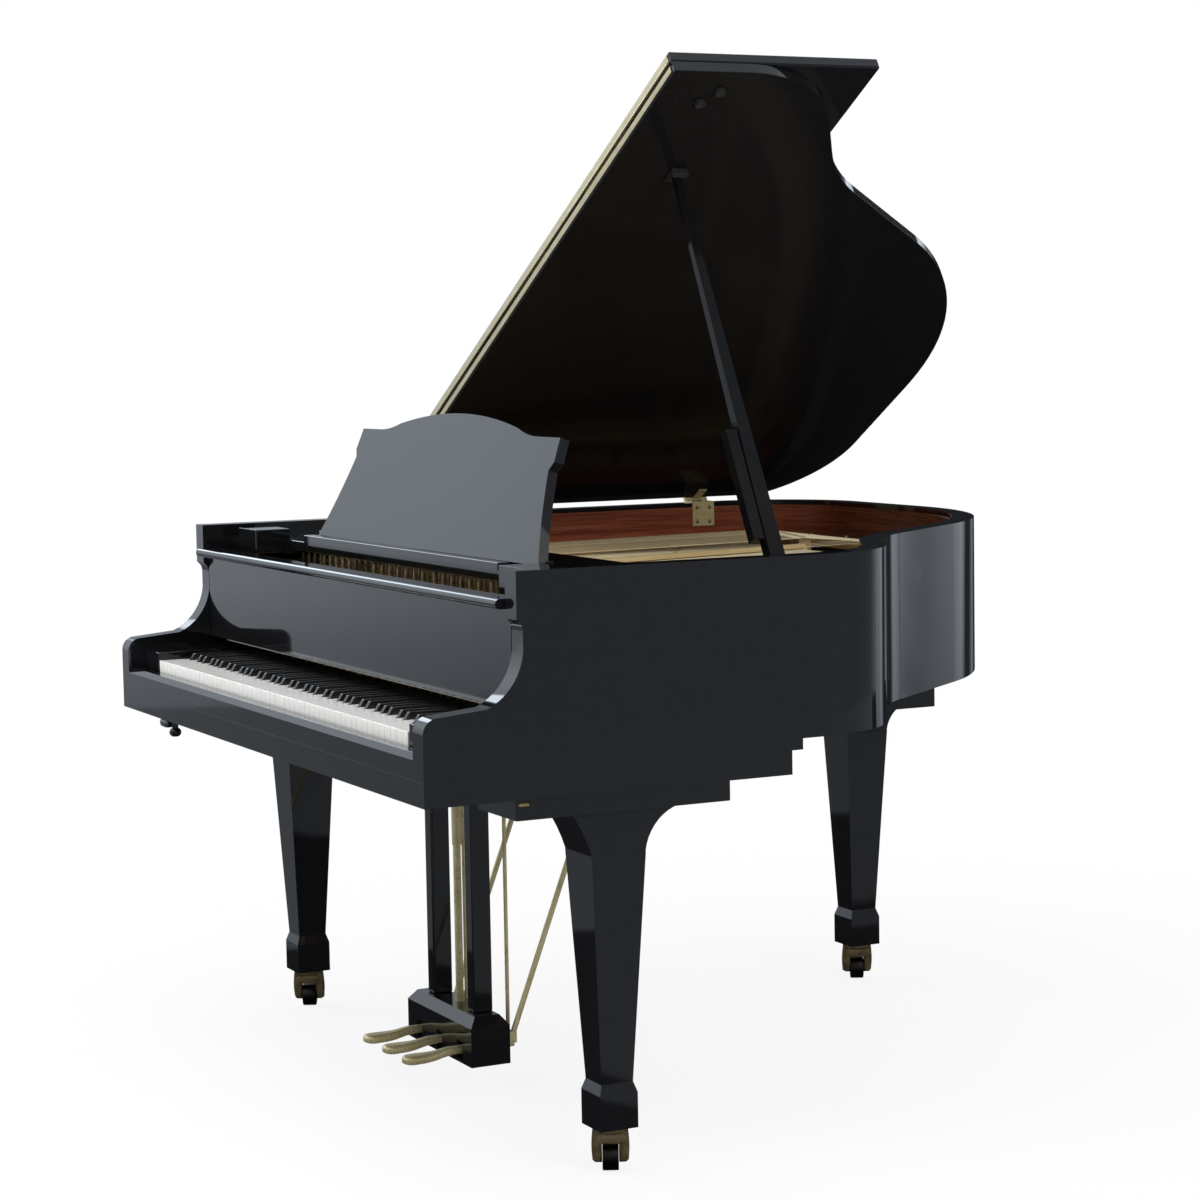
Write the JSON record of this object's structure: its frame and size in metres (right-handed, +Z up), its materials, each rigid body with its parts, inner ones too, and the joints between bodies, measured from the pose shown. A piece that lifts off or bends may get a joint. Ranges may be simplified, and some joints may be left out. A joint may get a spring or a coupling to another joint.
{
  "type": "grand piano",
  "caption": "Black baby grand piano with raised propped lid, folded front flap, music desk, full keyboard, pedal lyre and three tapered legs on casters.",
  "frame": {"origin": "on the floor, at the middle of the whole piano's width and length with the lid raised", "axes": "+X to the treble side, +Y from the keyboard to the tail, +Z up"},
  "size_m": [1.49, 1.56, 1.7821],
  "materials": {
    "black_lacquer": "polished black lacquer",
    "mahogany": "satin varnish",
    "spruce": "satin varnish",
    "bare_wood": "planed",
    "bronze_paint": "metallic paint",
    "steel": "drawn wire",
    "brass": "polished",
    "ivory_white": "polished key covering on wood",
    "ebony_black": "satin",
    "felt": "felt",
    "aged_brass": "dull"
  },
  "bodies": {
    "case": {"case_rim": "black_lacquer", "inner_rim": "mahogany", "keybed": "black_lacquer", "case_beams": "bare_wood", "keyslip": "black_lacquer", "key_blocks": "black_lacquer", "stretcher": "black_lacquer", "pinblock": "bare_wood", "iron_plate": "bronze_paint", "soundboard": "spruce", "bridges": "bare_wood", "tuning_pins": "steel", "strings": "steel", "legs": "black_lacquer", "leg_blocks": "black_lacquer", "lyre_frame": "black_lacquer", "lyre_box": "black_lacquer", "lyre_braces": "brass", "spine_hinges_case": "brass", "prop_bracket": "brass", "shelf_rails": "black_lacquer"},
    "lid": {"lid_main": "black_lacquer", "spine_hinges_lid": "brass", "long_hinge_main": "brass", "lid_fittings": "brass"},
    "lid_front": {"lid_front": "black_lacquer", "long_hinge_front": "brass"},
    "lid_prop": {"lid_prop": "black_lacquer"},
    "half_prop": {"half_prop": "black_lacquer"},
    "fallboard": {"fallboard": "black_lacquer"},
    "music_shelf": {"music_shelf": "black_lacquer"},
    "music_desk": {"music_desk": "black_lacquer"},
    "desk_strut": {"desk_strut": "black_lacquer"},
    "keyframe": {"keyframe": "bare_wood", "action": "bare_wood"},
    "dampers": {"dampers": "felt"},
    "keys_c": {"keys_c": "ivory_white"},
    "keys_c_sharp": {"keys_c_sharp": "ebony_black"},
    "keys_d": {"keys_d": "ivory_white"},
    "keys_d_sharp": {"keys_d_sharp": "ebony_black"},
    "keys_e": {"keys_e": "ivory_white"},
    "keys_f": {"keys_f": "ivory_white"},
    "keys_f_sharp": {"keys_f_sharp": "ebony_black"},
    "keys_g": {"keys_g": "ivory_white"},
    "keys_g_sharp": {"keys_g_sharp": "ebony_black"},
    "keys_a": {"keys_a": "ivory_white"},
    "keys_a_sharp": {"keys_a_sharp": "ebony_black"},
    "keys_b": {"keys_b": "ivory_white"},
    "pedal_left": {"pedal_left": "brass"},
    "pedal_rod_left": {"pedal_rod_left": "brass"},
    "pedal_middle": {"pedal_middle": "brass"},
    "pedal_rod_middle": {"pedal_rod_middle": "brass"},
    "pedal_right": {"pedal_right": "brass"},
    "pedal_rod_right": {"pedal_rod_right": "brass"},
    "caster_fork_treble": {"caster_fork_treble": "aged_brass"},
    "caster_wheel_treble": {"caster_wheel_treble": "aged_brass"},
    "caster_fork_bass": {"caster_fork_bass": "aged_brass"},
    "caster_wheel_bass": {"caster_wheel_bass": "aged_brass"},
    "caster_fork_rear": {"caster_fork_rear": "aged_brass"},
    "caster_wheel_rear": {"caster_wheel_rear": "aged_brass"}
  },
  "joints": [
    {"name": "lid_hinge", "type": "hinge", "parent": "case", "child": "lid", "pos_m": [-0.739, 0, 0.981], "axis": [0, -1, 0], "range_deg": [0, 35]},
    {"name": "lid_fold", "type": "hinge", "parent": "lid", "child": "lid_front", "pos_m": [-0.74899, -0.234, 0.99775], "axis": [0.859, 0, 0.512], "range_deg": [0, 180]},
    {"name": "prop_fold", "type": "hinge", "parent": "case", "child": "lid_prop", "pos_m": [0.688, -0.132, 0.95], "axis": [0, -1, 0], "range_deg": [0, 56]},
    {"name": "half_prop_swing", "type": "hinge", "parent": "lid_prop", "child": "half_prop", "pos_m": [0.65628, -0.12928, 1.0032], "axis": [0, 1, 0], "range_deg": [0, 35]},
    {"name": "fallboard_hinge", "type": "hinge", "parent": "case", "child": "fallboard", "pos_m": [0, -0.597, 0.76], "axis": [1, 0, 0], "range_deg": [0, 90]},
    {"name": "shelf_slide", "type": "slide", "parent": "case", "child": "music_shelf", "axis": [0, -1, 0], "range_m": [0, 0.06]},
    {"name": "desk_tilt", "type": "hinge", "parent": "music_shelf", "child": "music_desk", "pos_m": [0, -0.44907, 0.959], "axis": [-1, 0, 0], "range_deg": [0, 66]},
    {"name": "strut_fold", "type": "hinge", "parent": "music_desk", "child": "desk_strut", "pos_m": [0, -0.41189, 1.03486], "axis": [1, 0, 0], "range_deg": [0, 132.2]},
    {"name": "keyframe_shift", "type": "slide", "parent": "case", "child": "keyframe", "axis": [1, 0, 0], "range_m": [0, 0.003]},
    {"name": "keys_c_press", "type": "hinge", "parent": "keyframe", "child": "keys_c", "pos_m": [0, -0.545, 0.6857], "axis": [1, 0, 0], "range_deg": [0, 2.8], "stiffness_Nm_per_rad": 6, "springref_deg": -6.88},
    {"name": "keys_c_sharp_press", "type": "hinge", "parent": "keyframe", "child": "keys_c_sharp", "pos_m": [0, -0.545, 0.6857], "axis": [1, 0, 0], "range_deg": [0, 2.8], "stiffness_Nm_per_rad": 6, "springref_deg": -6.88},
    {"name": "keys_d_press", "type": "hinge", "parent": "keyframe", "child": "keys_d", "pos_m": [0, -0.545, 0.6857], "axis": [1, 0, 0], "range_deg": [0, 2.8], "stiffness_Nm_per_rad": 6, "springref_deg": -6.88},
    {"name": "keys_d_sharp_press", "type": "hinge", "parent": "keyframe", "child": "keys_d_sharp", "pos_m": [0, -0.545, 0.6857], "axis": [1, 0, 0], "range_deg": [0, 2.8], "stiffness_Nm_per_rad": 6, "springref_deg": -6.88},
    {"name": "keys_e_press", "type": "hinge", "parent": "keyframe", "child": "keys_e", "pos_m": [0, -0.545, 0.6857], "axis": [1, 0, 0], "range_deg": [0, 2.8], "stiffness_Nm_per_rad": 6, "springref_deg": -6.88},
    {"name": "keys_f_press", "type": "hinge", "parent": "keyframe", "child": "keys_f", "pos_m": [0, -0.545, 0.6857], "axis": [1, 0, 0], "range_deg": [0, 2.8], "stiffness_Nm_per_rad": 6, "springref_deg": -6.88},
    {"name": "keys_f_sharp_press", "type": "hinge", "parent": "keyframe", "child": "keys_f_sharp", "pos_m": [0, -0.545, 0.6857], "axis": [1, 0, 0], "range_deg": [0, 2.8], "stiffness_Nm_per_rad": 6, "springref_deg": -6.88},
    {"name": "keys_g_press", "type": "hinge", "parent": "keyframe", "child": "keys_g", "pos_m": [0, -0.545, 0.6857], "axis": [1, 0, 0], "range_deg": [0, 2.8], "stiffness_Nm_per_rad": 6, "springref_deg": -6.88},
    {"name": "keys_g_sharp_press", "type": "hinge", "parent": "keyframe", "child": "keys_g_sharp", "pos_m": [0, -0.545, 0.6857], "axis": [1, 0, 0], "range_deg": [0, 2.8], "stiffness_Nm_per_rad": 6, "springref_deg": -6.88},
    {"name": "keys_a_press", "type": "hinge", "parent": "keyframe", "child": "keys_a", "pos_m": [0, -0.545, 0.6857], "axis": [1, 0, 0], "range_deg": [0, 2.8], "stiffness_Nm_per_rad": 6, "springref_deg": -6.88},
    {"name": "keys_a_sharp_press", "type": "hinge", "parent": "keyframe", "child": "keys_a_sharp", "pos_m": [0, -0.545, 0.6857], "axis": [1, 0, 0], "range_deg": [0, 2.8], "stiffness_Nm_per_rad": 6, "springref_deg": -6.88},
    {"name": "keys_b_press", "type": "hinge", "parent": "keyframe", "child": "keys_b", "pos_m": [0, -0.545, 0.6857], "axis": [1, 0, 0], "range_deg": [0, 2.8], "stiffness_Nm_per_rad": 6, "springref_deg": -6.88},
    {"name": "damper_lift", "type": "slide", "parent": "case", "child": "dampers", "axis": [0, 0, 1], "range_m": [0, 0.004]},
    {"name": "pedal_left_press", "type": "hinge", "parent": "case", "child": "pedal_left", "pos_m": [-0.09, -0.4075, 0.074], "axis": [1, 0, 0], "range_deg": [0, 6], "stiffness_Nm_per_rad": 20, "springref_deg": -5.73},
    {"name": "pedal_rod_left_lift", "type": "slide", "parent": "case", "child": "pedal_rod_left", "axis": [0, 0, 1], "range_m": [0, 0.0066]},
    {"name": "pedal_middle_press", "type": "hinge", "parent": "case", "child": "pedal_middle", "pos_m": [0, -0.4075, 0.074], "axis": [1, 0, 0], "range_deg": [0, 6], "stiffness_Nm_per_rad": 20, "springref_deg": -5.73},
    {"name": "pedal_rod_middle_lift", "type": "slide", "parent": "case", "child": "pedal_rod_middle", "axis": [0, 0, 1], "range_m": [0, 0.0066]},
    {"name": "pedal_right_press", "type": "hinge", "parent": "case", "child": "pedal_right", "pos_m": [0.09, -0.4075, 0.074], "axis": [1, 0, 0], "range_deg": [0, 6], "stiffness_Nm_per_rad": 20, "springref_deg": -5.73},
    {"name": "pedal_rod_right_lift", "type": "slide", "parent": "case", "child": "pedal_rod_right", "axis": [0, 0, 1], "range_m": [0, 0.0066]},
    {"name": "caster_swivel_treble", "type": "hinge", "parent": "case", "child": "caster_fork_treble", "pos_m": [0.668, -0.44, 0.07], "axis": [0, 0, 1], "continuous": true},
    {"name": "caster_roll_treble", "type": "hinge", "parent": "caster_fork_treble", "child": "caster_wheel_treble", "pos_m": [0.65463, -0.43319, 0.022], "axis": [0.454, 0.891, 0], "continuous": true},
    {"name": "caster_swivel_bass", "type": "hinge", "parent": "case", "child": "caster_fork_bass", "pos_m": [-0.668, -0.44, 0.07], "axis": [0, 0, 1], "continuous": true},
    {"name": "caster_roll_bass", "type": "hinge", "parent": "caster_fork_bass", "child": "caster_wheel_bass", "pos_m": [-0.68136, -0.43319, 0.022], "axis": [0.454, 0.891, 0], "continuous": true},
    {"name": "caster_swivel_rear", "type": "hinge", "parent": "case", "child": "caster_fork_rear", "pos_m": [-0.313, 0.629, 0.07], "axis": [0, 0, 1], "continuous": true},
    {"name": "caster_roll_rear", "type": "hinge", "parent": "caster_fork_rear", "child": "caster_wheel_rear", "pos_m": [-0.32637, 0.63581, 0.022], "axis": [0.454, 0.891, 0], "continuous": true}
  ],
  "couplings": [
    {"joint": "strut_fold", "follows": "desk_tilt", "ratio": 2},
    {"joint": "keyframe_shift", "follows": "pedal_left_press", "m_per_rad": 0.0286},
    {"joint": "damper_lift", "follows": "pedal_right_press", "m_per_rad": 0.0381},
    {"joint": "pedal_rod_left_lift", "follows": "pedal_left_press", "m_per_rad": 0.0625},
    {"joint": "pedal_rod_middle_lift", "follows": "pedal_middle_press", "m_per_rad": 0.0625},
    {"joint": "pedal_rod_right_lift", "follows": "pedal_right_press", "m_per_rad": 0.0625}
  ]
}
